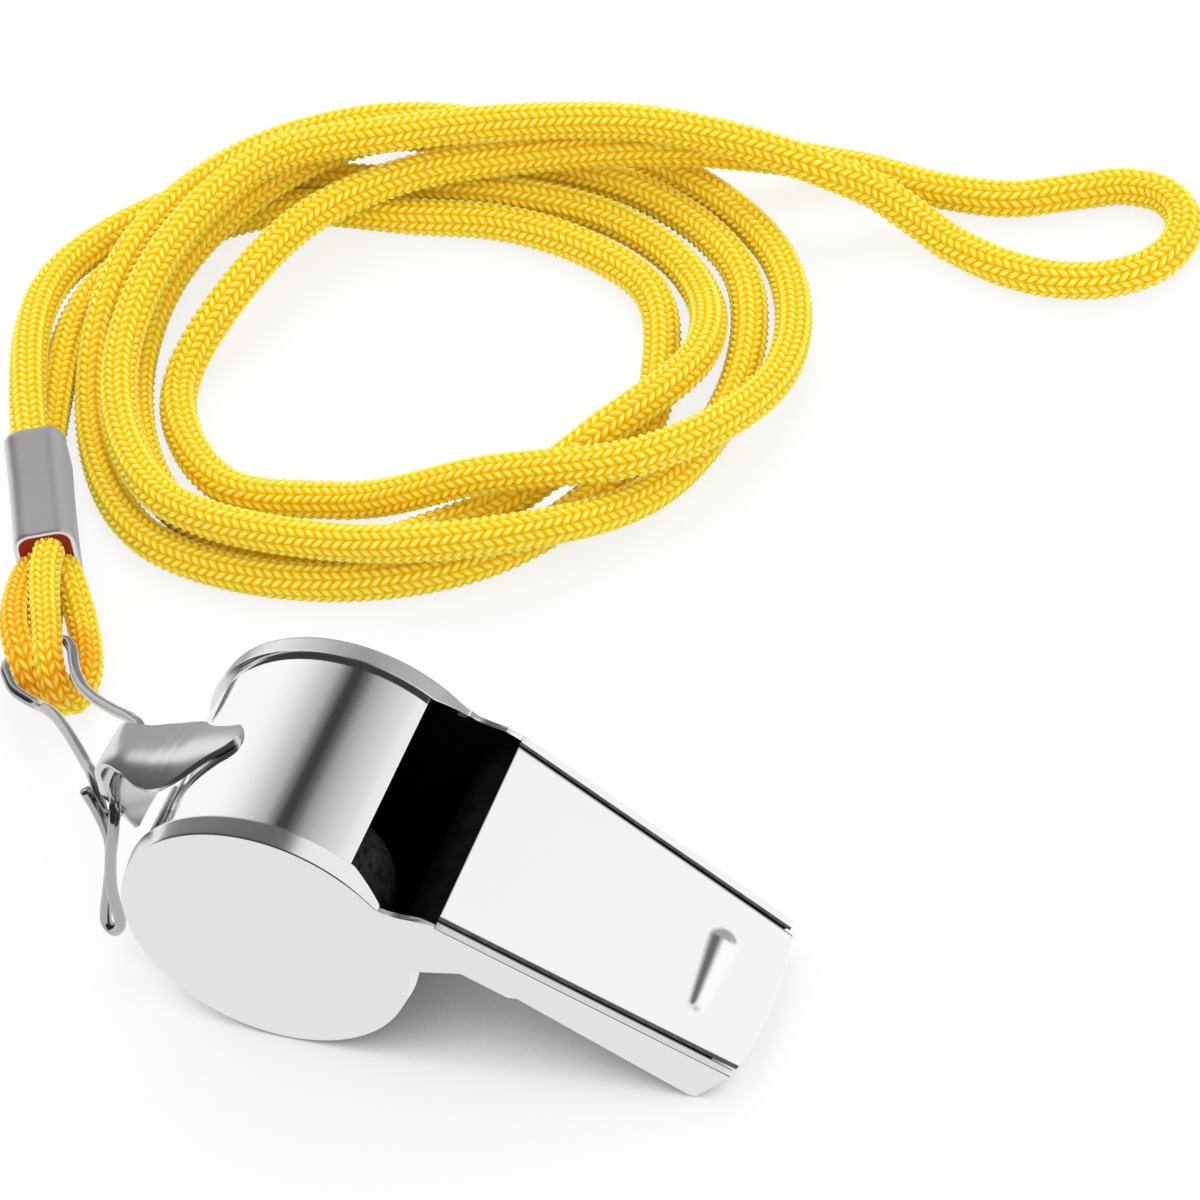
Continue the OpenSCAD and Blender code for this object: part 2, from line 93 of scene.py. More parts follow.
END_LOOP = [
    (12.7, 88.7, 1.6), (21.4, 87.7, 1.6), (27.3, 88, 1.6), (32.3, 90, 1.6), (36, 91.4, 1.6),
    (39.3, 91.1, 1.6), (41.6, 89, 1.6), (42.1, 86, 1.6), (40.9, 82.9, 1.6), (38, 80.6, 1.6),
    (33.7, 79.5, 1.6), (28.8, 79.9, 1.6), (24, 81.6, 1.6), (20.4, 83.2, 2.4), (17, 84, 3.9),
    (12.5, 83.5, 6.1)]
UPPER_EYE = [
    (-34.6, 26.9, 5.1), (-33.3, 23.7, 5.3), (-31.4, 19.8, 5.5), (-30.3, 17.4, 5.3),
    (-29.6, 16.3, 4.4), (-29.1, 15.9, 3.2), (-28.6, 16.5, 2), (-28.4, 17.8, 1.6),
    (-28.6, 19.7, 1.6), (-29.7, 22.3, 1.6), (-31.4, 25.2, 1.7), (-33, 27.5, 2.3)]
LOWER_EYE = [
    (-36.2, 26.2, 4), (-35.5, 23.4, 4.7), (-34.4, 20.5, 5.3), (-33.2, 18.4, 5.4),
    (-32.3, 17.2, 5), (-31.7, 16.6, 4), (-31.4, 16.6, 2.7), (-31.5, 17.4, 1.8),
    (-32.1, 19.2, 1.5), (-33.3, 22.2, 1.5), (-34.7, 26, 1.5)]
WIRE_ROUTE = [
    (-13.75, -2.95, 14.6), (-14.3, -3.3, 14), (-15.2, -3.1, 13.6), (-16.3, -1.6, 14.1),
    (-17, -0.6, 14.2), (-19.2, 2.2, 12.6), (-21.4, 4.8, 11.2), (-23.8, 7.6, 9.4),
    (-25.9, 9.9, 7.8), (-27.7, 11.6, 6.4), (-29.7, 13.4, 4.5), (-31.1, 14.1, 4.2),
    (-32.3, 14.8, 4), (-33.3, 15.9, 3.8), (-34.1, 17.1, 3.6), (-34.1, 18.3, 3.5),
    (-33, 19.3, 3.5), (-31.7, 20.4, 3.5), (-30.7, 21, 3.6), (-29.8, 20.3, 3.8),
    (-28.7, 18.5, 4.4), (-27.3, 16.3, 5.4), (-25.9, 14.6, 6.2), (-23.8, 12.6, 7.6),
    (-20.6, 9.8, 10.1), (-17, 6.5, 13.4), (-15.2, 4.4, 15.2), (-14.4, 2.5, 16),
    (-14.4, 0, 16), (-14.4, -1.9, 16), (-13.7, -3.5, 16.5), (-13.2, -4.6, 16.6),
    (-13.1, -5.3, 16), (-13.3, -5.6, 14.7), (-13.8, -5.7, 12.7), (-14.3, -5.7, 10.3),
    (-14.6, -5.7, 7.9), (-14.6, -5.7, 5.9), (-14.6, -5.7, 4.5), (-15, -5.5, 3.4),
    (-15.8, -5.2, 2.6), (-16.3, -5, 3), (-16.3, -4.7, 4), (-15.9, -4.6, 5.7),
    (-15.4, -4.5, 7.7), (-14.7, -4.5, 10.7), (-14.4, -4.6, 13), (-14.6, -4.6, 14.9),
    (-15, -4.5, 16.4), (-15.5, -4.4, 17.7)]
# Height of the middle of a cord that lies on the floor
LOW = 1.6

# Everything below is measured from the point of the floor under the barrel's axis
BARREL_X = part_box("near_side_plate")[0].x + DISC_R
ORIGIN = Vector((BARREL_X, 0, 0))


def from_mm(points):
    """Points in millimetres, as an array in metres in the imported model's frame."""
    return np.array(points, float) * MM + np.array(ORIGIN)


# Mouthpiece frame: u runs from the foot of the barrel's axis to the blown end, and v is its
# upward normal
TIP_HALF_W = HALF_W - SIDE_TAPER
TIP_SAG = TIP_BOW_R - sqrt(TIP_BOW_R ** 2 - TIP_HALF_W ** 2)
REST_U = MOUTH_REACH - TIP_SAG - TIP_SETBACK
REST_V = DISC_R - TIP_DEPTH
PITCH = atan2(REST_V, REST_U) + asin(DISC_R / hypot(REST_U, REST_V))
BEND_X = DISC_R - LAP_W
SIDE_SLOPE = SIDE_TAPER / (REST_U * cos(PITCH) + REST_V * sin(PITCH) - BEND_X)


def mouth_point(u, v):
    return (u * cos(PITCH) + v * sin(PITCH), DISC_R - u * sin(PITCH) + v * cos(PITCH))


def rim_point(angle, r=DISC_R):
    return (r * cos(radians(angle)), DISC_R + r * sin(radians(angle)))


def half_width(x, inset=0.0):
    """Half width of the whistle's outside at x, less an inset."""
    return HALF_W - inset - SIDE_SLOPE * max(0.0, x - BEND_X)


# Camera of the photograph
CAM_AZ = 0.4567715747
CAM_EL = 0.8024295381
CAM_ROLL = -0.1651141846
CAM_TARGET = Vector((8.002 * MM, 37.998 * MM, 0)) + ORIGIN
CAM_DISTANCE = 474.788 * MM
CAM_LENS = 180
CAM_SENSOR = 36


def make_camera():
    data = bpy.data.cameras.new("photo_camera")
    data.lens = CAM_LENS
    data.sensor_width = CAM_SENSOR
    data.clip_start = 0.01
    data.clip_end = 20
    cam = bpy.data.objects.new("photo_camera", data)
    bpy.context.collection.objects.link(cam)
    back = Vector((sin(CAM_AZ) * cos(CAM_EL), -cos(CAM_AZ) * cos(CAM_EL), sin(CAM_EL)))
    right = (-back).cross(Vector((0, 0, 1))).normalized()
    up = right.cross(-back)
    rolled_right = cos(CAM_ROLL) * right + sin(CAM_ROLL) * up
    rolled_up = -sin(CAM_ROLL) * right + cos(CAM_ROLL) * up
    turn = Matrix((rolled_right, rolled_up, back)).transposed()
    cam.matrix_world = Matrix.Translation(CAM_TARGET + CAM_DISTANCE * back) @ turn.to_4x4()
    bpy.context.scene.camera = cam


# Curves and tubes

def smooth_route(points, steps):
    """A smooth curve through the points, with so many steps from each one to the next."""
    p = np.array(points, float)
    n = len(p) - 1
    spans = np.linalg.norm(np.diff(p, axis=0), axis=1)

    def slope(i):
        a = p[1] - p[0] if i == 0 else p[i] - p[i - 1]
        b = p[n] - p[n - 1] if i == n else p[i + 1] - p[i]
        la, lb = np.linalg.norm(a), np.linalg.norm(b)
        return (a * lb / la + b * la / lb) / (la + lb)

    out = []
    for i in range(n):
        m0, m1 = slope(i) * spans[i], slope(i + 1) * spans[i]
        for k in range(steps):
            t = k / steps
            out.append(p[i] * (2 * t ** 3 - 3 * t ** 2 + 1) + p[i + 1] * (3 * t ** 2 - 2 * t ** 3)
                       + m0 * (t ** 3 - 2 * t ** 2 + t) + m1 * (t ** 3 - t ** 2))
    out.append(p[n])
    return np.array(out)


def resample(route, step):
    """The route again, with points a steady step apart."""
    seg = np.linalg.norm(np.diff(route, axis=0), axis=1)
    s = np.r_[0, np.cumsum(seg)]
    n = max(2, int(round(s[-1] / step)))
    at = np.linspace(0, s[-1], n + 1)
    return np.stack([np.interp(at, s, route[:, k]) for k in range(3)], axis=1), at


def soften(route, rounds):
    """Evens out the small kinks that resampling leaves."""
    p = route.copy()
    for _ in range(rounds):
        p[1:-1] = 0.25 * p[:-2] + 0.5 * p[1:-1] + 0.25 * p[2:]
    return p


def frames(route):
    """Two crosswise directions at each point, turned as little as possible."""
    t = np.gradient(route, axis=0)
    t /= np.linalg.norm(t, axis=1)[:, None]
    a = np.zeros_like(t)
    first = np.cross(t[0], (0, 0, 1))
    a[0] = first / np.linalg.norm(first)
    for i in range(1, len(t)):
        v = a[i - 1] - a[i - 1].dot(t[i]) * t[i]
        a[i] = v / np.linalg.norm(v)
    return a, np.cross(t, a)


def link(name, mesh):
    ob = bpy.data.objects.new(name, mesh)
    bpy.context.collection.objects.link(ob)
    return ob


def grid_mesh(name, points, closed_across=True, caps=True):
    """A mesh from an array of rows x columns x 3."""
    rows, cols = points.shape[:2]
    index = np.arange(rows * cols).reshape(rows, cols)
    nxt = np.roll(index, -1, axis=1) if closed_across else index[:, 1:]
    here = index if closed_across else index[:, :-1]
    quads = np.stack([here[:-1], nxt[:-1], nxt[1:], here[1:]], axis=-1).reshape(-1, 4)
    faces = quads.tolist()
    if caps and closed_across:
        faces.append(index[0][::-1].tolist())
        faces.append(index[-1].tolist())
    mesh = bpy.data.meshes.new(name)
    mesh.from_pydata(points.reshape(-1, 3).tolist(), [], faces)
    mesh.polygons.foreach_set("use_smooth", np.ones(len(mesh.polygons), bool))
    mesh.update()
    return mesh


def link_rows(name, rows, closed_across=False):
    """An object from rows of points that are measured from the barrel's foot."""
    return link(name, grid_mesh(name, np.array(rows) + np.array(ORIGIN), closed_across))


def point_values(ob, name, values):
    """Stores a value at each point of the mesh, for its material to read."""
    layer = ob.data.attributes.new(name, "FLOAT", "POINT")
    layer.data.foreach_set("value", values)


def round_tube(name, route, radius, sides):
    a, b = frames(route)
    angle = np.linspace(0, 2 * pi, sides, endpoint=False)[None, :, None]
    ring = np.cos(angle) * a[:, None] - np.sin(angle) * b[:, None]
    return link(name, grid_mesh(name, route[:, None] + radius * ring))


# The knit: wales are its columns of stitches, each with two legs that slant into a V
STITCH = 0.78 * MM
STITCH_DEPTH = 0.3 * MM
STITCH_ROWS = 6
STITCH_FULLNESS = 0.75
WALES = 6
WALE_FULLNESS = 0.7
LEG_COLUMNS = 5
LEG_SLANT = 0.85
CORD_TWIST = 18.0


def knit_tube(name, route, diameter, twist=0.0):
    """A knitted cord: columns of V stitches stand proud of a round core."""
    line, at = resample(route, STITCH / STITCH_ROWS)
    line = soften(line, 3)
    a, b = frames(line)
    cols = WALES * 2 * LEG_COLUMNS
    leg = np.abs(np.arange(cols) / cols * WALES % 1.0 - 0.5) * 2
    phase = (at / STITCH)[:, None] + LEG_SLANT * leg[None, :]
    along = 0.5 + 0.5 * np.cos(2 * pi * phase)
    across = np.sin(pi * np.clip(leg, 0.02, 0.98)) ** WALE_FULLNESS
    rise = along ** STITCH_FULLNESS * across[None, :]
    angle = (2 * pi * np.arange(cols) / cols + twist * at[:, None])[..., None]
    radius = (diameter / 2 - STITCH_DEPTH * (1 - rise))[..., None]
    ring = np.cos(angle) * a[:, None] - np.sin(angle) * b[:, None]
    ob = link(name, grid_mesh(name, line[:, None] + radius * ring))
    point_values(ob, "stitch_rise", rise.astype(np.float32).ravel())
    return ob, line


# Nodes of the materials and the world

def ramp(tree, stops, source, interpolation="EASE"):
    node = tree.nodes.new("ShaderNodeValToRGB")
    node.color_ramp.interpolation = interpolation
    while len(node.color_ramp.elements) < len(stops):
        node.color_ramp.elements.new(0.5)
    for element, (place, colour) in zip(node.color_ramp.elements, stops):
        element.position = place
        element.color = (*colour, 1)
    tree.links.new(source, node.inputs["Fac"])
    return node.outputs["Color"]


def noise(tree, scale, detail):
    coord = tree.nodes.new("ShaderNodeTexCoord")
    node = tree.nodes.new("ShaderNodeTexNoise")
    node.inputs["Scale"].default_value = scale
    node.inputs["Detail"].default_value = detail
    tree.links.new(coord.outputs["Object"], node.inputs["Vector"])
    return node.outputs["Fac"]


def attribute(tree, name):
    node = tree.nodes.new("ShaderNodeAttribute")
    node.attribute_name = name
    return node.outputs["Fac"]


def spread(tree, value, low, high):
    """Runs from low to high as value goes from 0 to 1."""
    node = tree.nodes.new("ShaderNodeMapRange")
    node.inputs["To Min"].default_value = low
    node.inputs["To Max"].default_value = high
    tree.links.new(value, node.inputs["Value"])
    return node.outputs["Result"]


def step_node(tree, value, start, end):
    """Rises softly from 0 to 1 as value goes from start to end."""
    node = tree.nodes.new("ShaderNodeMapRange")
    node.interpolation_type = "SMOOTHSTEP"
    node.inputs["From Min"].default_value = start
    node.inputs["From Max"].default_value = end
    tree.links.new(value, node.inputs["Value"])
    return node.outputs["Result"]


def math_node(tree, operation, first, second):
    node = tree.nodes.new("ShaderNodeMath")
    node.operation = operation
    for socket, value in zip(node.inputs, (first, second)):
        if isinstance(value, (int, float)):
            socket.default_value = value
        else:
            tree.links.new(value, socket)
    return node.outputs[0]


def split_xyz(tree, vector):
    node = tree.nodes.new("ShaderNodeSeparateXYZ")
    tree.links.new(vector, node.inputs[0])
    return node.outputs["X"], node.outputs["Y"], node.outputs["Z"]


def mix_colours(tree, factor, first, second):
    node = tree.nodes.new("ShaderNodeMix")
    node.data_type = "RGBA"
    tree.links.new(factor, node.inputs["Factor"])
    for name, value in (("A", first), ("B", second)):
        socket = next(i for i in node.inputs if i.name == name and i.type == "RGBA")
        if isinstance(value, tuple):
            socket.default_value = (*value, 1)
        else:
            tree.links.new(value, socket)
    return next(o for o in node.outputs if o.type == "RGBA")


def mix_shaders(tree, factor, first, second):
    node = tree.nodes.new("ShaderNodeMixShader")
    for socket, value in zip(node.inputs, (factor, first, second)):
        tree.links.new(value, socket)
    return node.outputs[0]


def first_reflection(tree):
    """1 for a ray mirrored to the camera, and 0 for one that lights something matt."""
    path = tree.nodes.new("ShaderNodeLightPath")
    matt = math_node(tree, "LESS_THAN", path.outputs["Diffuse Depth"], 0.5)
    return math_node(tree, "MULTIPLY", path.outputs["Is Glossy Ray"], matt)


def camera_ray(tree):
    return tree.nodes.new("ShaderNodeLightPath").outputs["Is Camera Ray"]


def bump(tree, shader, height, strength, distance):
    node = tree.nodes.new("ShaderNodeBump")
    node.inputs["Strength"].default_value = strength
    node.inputs["Distance"].default_value = distance
    tree.links.new(height, node.inputs["Height"])
    tree.links.new(node.outputs["Normal"], shader.inputs["Normal"])


def evenly(level):
    """A grey with the same level in red, green and blue."""
    return (level,) * 3


def grey(value):
    """Linear level of a grey that shows as value, from 0 to 255."""
    c = value / 255
    return c / 12.92 if c <= 0.04045 else ((c + 0.055) / 1.055) ** 2.4


# Materials

def new_material(name):
    mat = bpy.data.materials.new(name)
    mat.use_nodes = True
    tree = mat.node_tree
    return mat, tree, tree.nodes["Principled BSDF"]


PLATE_PATCHES = 900.0
PLATE_RIPPLE = 2500.0


def plate_film(tree, shader, roughness, wear):
    """A sheen that varies a little over the sheet, on a very faint ripple."""
    patches = noise(tree, PLATE_PATCHES, 3.0)
    film = spread(tree, patches, roughness - wear / 2, roughness + wear / 2)
    tree.links.new(film, shader.inputs["Roughness"])
    bump(tree, shader, noise(tree, PLATE_RIPPLE, 2.0), 0.02, 0.02 * MM)


def plate_material(name, colour, roughness, wear=0.03):
    """Bright plate on sheet steel."""
    mat, tree, shader = new_material(name)
    shader.inputs["Metallic"].default_value = 1.0
    shader.inputs["Base Color"].default_value = (*colour, 1)
    plate_film(tree, shader, roughness, wear)
    return mat


# Painted light and shade on the lid: its flat lighter and partly matt, its turned flanks darker
# and full metal
LID_FLAT_COLOUR = (0.98, 0.98, 0.98)
LID_FLANK_COLOUR = (0.84, 0.84, 0.845)
LID_FLAT_METAL = 0.45


def lid_material():
    """The same plate with painted light: lighter and less of a mirror on the lid's flat than on
    its pressed flanks.
    """
    mat, tree, shader = new_material("bright_lid")
    flank = attribute(tree, "flank")
    colour = ramp(tree, [(0.0, LID_FLAT_COLOUR), (1.0, LID_FLANK_COLOUR)], flank)
    tree.links.new(colour, shader.inputs["Base Color"])
    tree.links.new(spread(tree, flank, LID_FLAT_METAL, 1.0), shader.inputs["Metallic"])
    plate_film(tree, shader, 0.2, 0.04)
    return mat


def matt_material(name, grain, detail, stops, roughness, specular, relief=0.0):
    """A finish without metal, mottled by its grain."""
    mat, tree, shader = new_material(name)
    mottle = noise(tree, grain, detail)
    tree.links.new(ramp(tree, stops, mottle), shader.inputs["Base Color"])
    shader.inputs["Roughness"].default_value = roughness
    shader.inputs["Specular IOR Level"].default_value = specular
    if relief:
        bump(tree, shader, mottle, relief, 0.1 * MM)
    return mat


# Painted light and shade of the yarn, from the deep orange of the grooves between stitches to the
# pale yellow of their crests
YARN_DEEP = (1.0, 0.3, 0.0)
YARN_SHADE = (1.0, 0.58, 0.0)
YARN_MIDDLE = (1.0, 0.81, 0.01)
YARN_CREST = (1.0, 0.98, 0.25)
YARN_STOPS = [(0.0, YARN_DEEP), (0.14, YARN_SHADE), (0.42, YARN_MIDDLE), (0.85, YARN_CREST)]
# Painted shade on the cord's eyes near the clip's wire: the yarn's stops made deeper and redder
WIRE_SHADE_STOPS = [(0.0, (0.95, 0.15, 0.0)), (0.35, YARN_DEEP), (1.0, YARN_MIDDLE)]
# Painted shade for the cord's end in the sleeve's open end: a dark red
CORE_SHADE_STOPS = [(0.0, (0.3, 0.02, 0.0)), (1.0, YARN_DEEP)]


def yarn_material(name, stops, wire_shade_stops=None):
    """Yarn with painted light and shade: pale on the stitches' crests, deep orange between them,
    and deeper where painted shade falls near the clip's wire.
    """
    mat, tree, shader = new_material(name)
    rise = attribute(tree, "stitch_rise")
    colour = ramp(tree, stops, rise, "LINEAR")
    if wire_shade_stops:
        wire_shaded = ramp(tree, wire_shade_stops, rise, "LINEAR")
        colour = mix_colours(tree, attribute(tree, "wire_shade"), colour, wire_shaded)
    tree.links.new(colour, shader.inputs["Base Color"])
    shader.inputs["Roughness"].default_value = 0.5
    shader.inputs["Specular IOR Level"].default_value = 0.18
    bump(tree, shader, noise(tree, 7000.0, 2.0), 0.2, 0.03 * MM)
    return mat


# Sheet-metal pieces

def apply_modifiers(ob):
    depsgraph = bpy.context.evaluated_depsgraph_get()
    mesh = bpy.data.meshes.new_from_object(ob.evaluated_get(depsgraph), depsgraph=depsgraph)
    ob.modifiers.clear()
    ob.data = mesh


def finish_sheet(ob, bevel, angle=35, segments=2):
    """Rounds the sharp edges of a sheet piece and shades it smoothly."""
    mod = ob.modifiers.new("edge_round", "BEVEL")
    mod.width = bevel
    mod.segments = segments
    mod.limit_method = "ANGLE"
    mod.angle_limit = radians(angle)
    mod.harden_normals = False
    weigh = ob.modifiers.new("even_shading", "WEIGHTED_NORMAL")
    weigh.keep_sharp = True
    weigh.weight = 80
    for poly in ob.data.polygons:
        poly.use_smooth = True
    apply_modifiers(ob)
    return ob


def thicken(ob, thickness, offset, even=False):
    """Gives a sheet its thickness: offset 1 and -1 are its two sides, and 0 is both."""
    solid = ob.modifiers.new("sheet", "SOLIDIFY")
    solid.thickness = thickness
    solid.offset = offset
    solid.use_even_offset = even


def arc(mid, r, start, end, steps):
    turns = [radians(start + (end - start) * i / steps) for i in range(steps + 1)]
    return [(mid[0] + r * cos(turn), mid[1] + r * sin(turn)) for turn in turns]


def offset_line(line, reach):
    out = []
    for i, (x, z) in enumerate(line):
        x0, z0 = line[max(i - 1, 0)]
        x1, z1 = line[min(i + 1, len(line) - 1)]
        n = hypot(x1 - x0, z1 - z0)
        out.append((x - reach * (z1 - z0) / n, z + reach * (x1 - x0) / n))
    return out


def resample_line(line, step):
    p = np.array(line)
    seg = np.linalg.norm(np.diff(p, axis=0), axis=1)
    s = np.r_[0, np.cumsum(seg)]
    at = np.linspace(0, s[-1], int(s[-1] / step) + 1)
    return [(float(np.interp(v, s, p[:, 0])), float(np.interp(v, s, p[:, 1]))) for v in at]


KNEE_ANGLE = 357
THROAT_KNEE = mouth_point(WINDOW_EDGE + THROAT_DEPTH + 0.3 * MM, DISC_R - THROAT_DEPTH)
TIP_REST = mouth_point(REST_U, REST_V)


def barrel_strip():
    """One bent strip: the barrel's wall from the window's lip round to the air way's floor."""
    outer = arc((0, DISC_R), SHELL_R, LIP_ANGLE, KNEE_ANGLE, 300)
    for corner in (THROAT_KNEE, TIP_REST):
        outer += resample_line([outer[-1], corner], 0.5 * MM)[1:]
    rows = []
    for (xo, zo), (xi, zi) in zip(outer, offset_line(outer, SHEET)):
        ho, hi = half_width(xo, SHEET), half_width(xi, SHEET)
        rows.append([(xo, -ho, zo), (xo, ho, zo), (xi, hi, zi), (xi, -hi, zi)])
    ob = link_rows("barrel_shell", rows, closed_across=True)
    return finish_sheet(ob, 0.1 * MM, segments=3)


LID_ROWS = 220
LID_COLUMNS = 71
LID_EDGE_R = 0.35 * MM
LID_EDGE_STEPS = 6
LID_EDGE_DEPTH = 0.94
GRIP_U = WINDOW_EDGE + 20 * MM
GRIP_L = 8.2 * MM
GRIP_W = 3.1 * MM
GRIP_TAPER = 0.27
GRIP_SHIFT = -0.2 * MM
GRIP_SLOPE = 0.36
GRIP_SOFT = 0.36


def soft_tent(reach):
    """Falls from its top at 0 to nothing at 1, steadily but for a soft ridge and a soft foot."""
    if reach < GRIP_SOFT:
        return 1 - GRIP_SOFT - reach ** 2 / (2 * GRIP_SOFT)
    if reach < 1 - GRIP_SOFT:
        return 1 - GRIP_SOFT / 2 - reach
    return (1 - min(reach, 1)) ** 2 / (2 * GRIP_SOFT)


def grip_rise(u, y):
    """Height of the raised grip bar over the lid, which narrows toward the near side."""
    across = GRIP_W * (1 - GRIP_TAPER * (1 - max(-1.0, min(1.0, y / (GRIP_L / 2)))))
    along = max(abs(y - GRIP_SHIFT) - (GRIP_L - across) / 2, 0)
    return GRIP_SLOPE * across / 2 * soft_tent(hypot(u - GRIP_U, along) / (across / 2))


def lid_solid():
    """Mouthpiece top with its raised grip bar: a grid over the plate, thickened downward."""
    rows = []
    for u in np.linspace(WINDOW_EDGE, MOUTH_REACH, LID_ROWS):
        half = half_width(mouth_point(u, DISC_R)[0], FOLD_W + SEAM)
        flat = [share * (half - LID_EDGE_R) for share in np.linspace(-1, 1, LID_COLUMNS)]
        edge = [half - LID_EDGE_R * (1 - k / LID_EDGE_STEPS) for k in range(1, LID_EDGE_STEPS + 1)]
        row = []
        for y in [-e for e in reversed(edge)] + flat + edge:
            bow = TIP_BOW_R - sqrt(TIP_BOW_R ** 2 - y ** 2)
            pull = bow * ((u - WINDOW_EDGE) / (MOUTH_REACH - WINDOW_EDGE)) ** 4
            rolled = max(0.0, abs(y) - half + LID_EDGE_R) * LID_EDGE_DEPTH
            fall = LID_EDGE_R - sqrt(LID_EDGE_R ** 2 - rolled ** 2)
            x, z = mouth_point(u - pull, DISC_R + grip_rise(u - pull, y) - fall)
            row.append((x, y, z))
        rows.append(row)
    ob = link_rows("mouthpiece_lid", rows)
    thicken(ob, SHEET, 1.0, even=True)
    return finish_sheet(ob, 0.08 * MM, angle=60)


def ramp_solid():
    """The block under the window that guides the air across it."""
    roof = DISC_R - SHEET - 1.0 * MM
    low = DISC_R - THROAT_DEPTH + SHEET
    back = WINDOW_EDGE + THROAT_DEPTH
    crest = mouth_point(WINDOW_EDGE, roof)
    crest_angle = degrees(atan2(crest[1] - DISC_R, crest[0]))
    line = [(SHELL_R * cos(asin(FIT / SHELL_R)), DISC_R + FIT)]
    line += arc((0, DISC_R), SHELL_R, 2, min(14, crest_angle - 1), 8)
    line += [crest, mouth_point(back, roof), mouth_point(back + 2 * THROAT_DEPTH, low)]
    rows = []
    for x, z in line:
        h = half_width(x, SHEET + FIT)
        rows.append([(x, -h, z), (x, h, z)])
    return link_rows("air_ramp", rows)


# One side plate: its flat face, its rolled rim round the barrel and its fold beside the lid
RIM_SLOPE = radians(7.5)
RIM_FALL = 0.2 * MM
RIM_EDGE_R = 0.15 * MM
RIM_DROP = RIM_FALL + RIM_EDGE_R * cos(RIM_SLOPE)
FOLD_ROUND = 0.25 * MM
FOLD_EDGE_R = 0.09 * MM
FOLD_STEPS = 40
FLANGE_START = 47
FLANGE_END = 31
LAP_AT_WINDOW = 0.32
LAP_AT_KNEE = 0.6
LAP_KNEE_SPAN = 7
UNDER_STEP_U = WINDOW_EDGE + 8.2 * MM
UNDER_STEP_H = 0.35 * MM
# From the shoulder, where the lid meets the window, back to the rolled rim
NECK_STEPS = [(-0.35, 0.08), (-1.2, 0.48), (-2.4, 0.62), (-3.5, 0.85)]


def share_of(value, start, end):
    """Goes steadily from 0 to 1 as value goes from start to end."""
    return min(max((value - start) / (end - start), 0), 1)


def rim_profile():
    """From the disc's face to the lap's end: places inward, and drops below the rim's crest."""
    out = []
    for k in range(7):
        tilt = pi / 2 + (RIM_SLOPE - pi / 2) * k / 6
        out.append((RIM_EDGE_R * (1 - sin(tilt)), RIM_DROP - RIM_EDGE_R * cos(tilt)))
    start = out[-1][0]
    for k in range(1, 11):
        share = 1 - k / 10
        out.append((LAP_W - (LAP_W - start) * share, RIM_FALL * share))
    return out


def fold_profile():
    """Over the fold's rounded edges: places inward from the side face, and drops below the lid."""
    out = []
    for k in range(1, 7):
        turn = pi / 2 * k / 6
        out.append((FOLD_EDGE_R * (1 - cos(turn)), FOLD_EDGE_R * (1 - sin(turn))))
    out += [(FOLD_EDGE_R + 0.05 * MM, 0.0), (FOLD_W - FOLD_ROUND - 0.04 * MM, 0.0)]
    for k in range(6):
        turn = 0.45 * pi * k / 5
        out.append((FOLD_W - FOLD_ROUND * (1 - sin(turn)), FOLD_ROUND * (1 - cos(turn))))
    return out


def lap_share(angle):
    """The rolled rim is at its full width round the barrel, and runs out toward the mouthpiece."""
    past_window = share_of(angle, FLANGE_END, FLANGE_START)
    before_knee = share_of(KNEE_ANGLE - angle, 0, LAP_KNEE_SPAN)
    return min(LAP_AT_WINDOW + (1 - LAP_AT_WINDOW) * past_window,
               LAP_AT_KNEE + (1 - LAP_AT_KNEE) * before_knee)


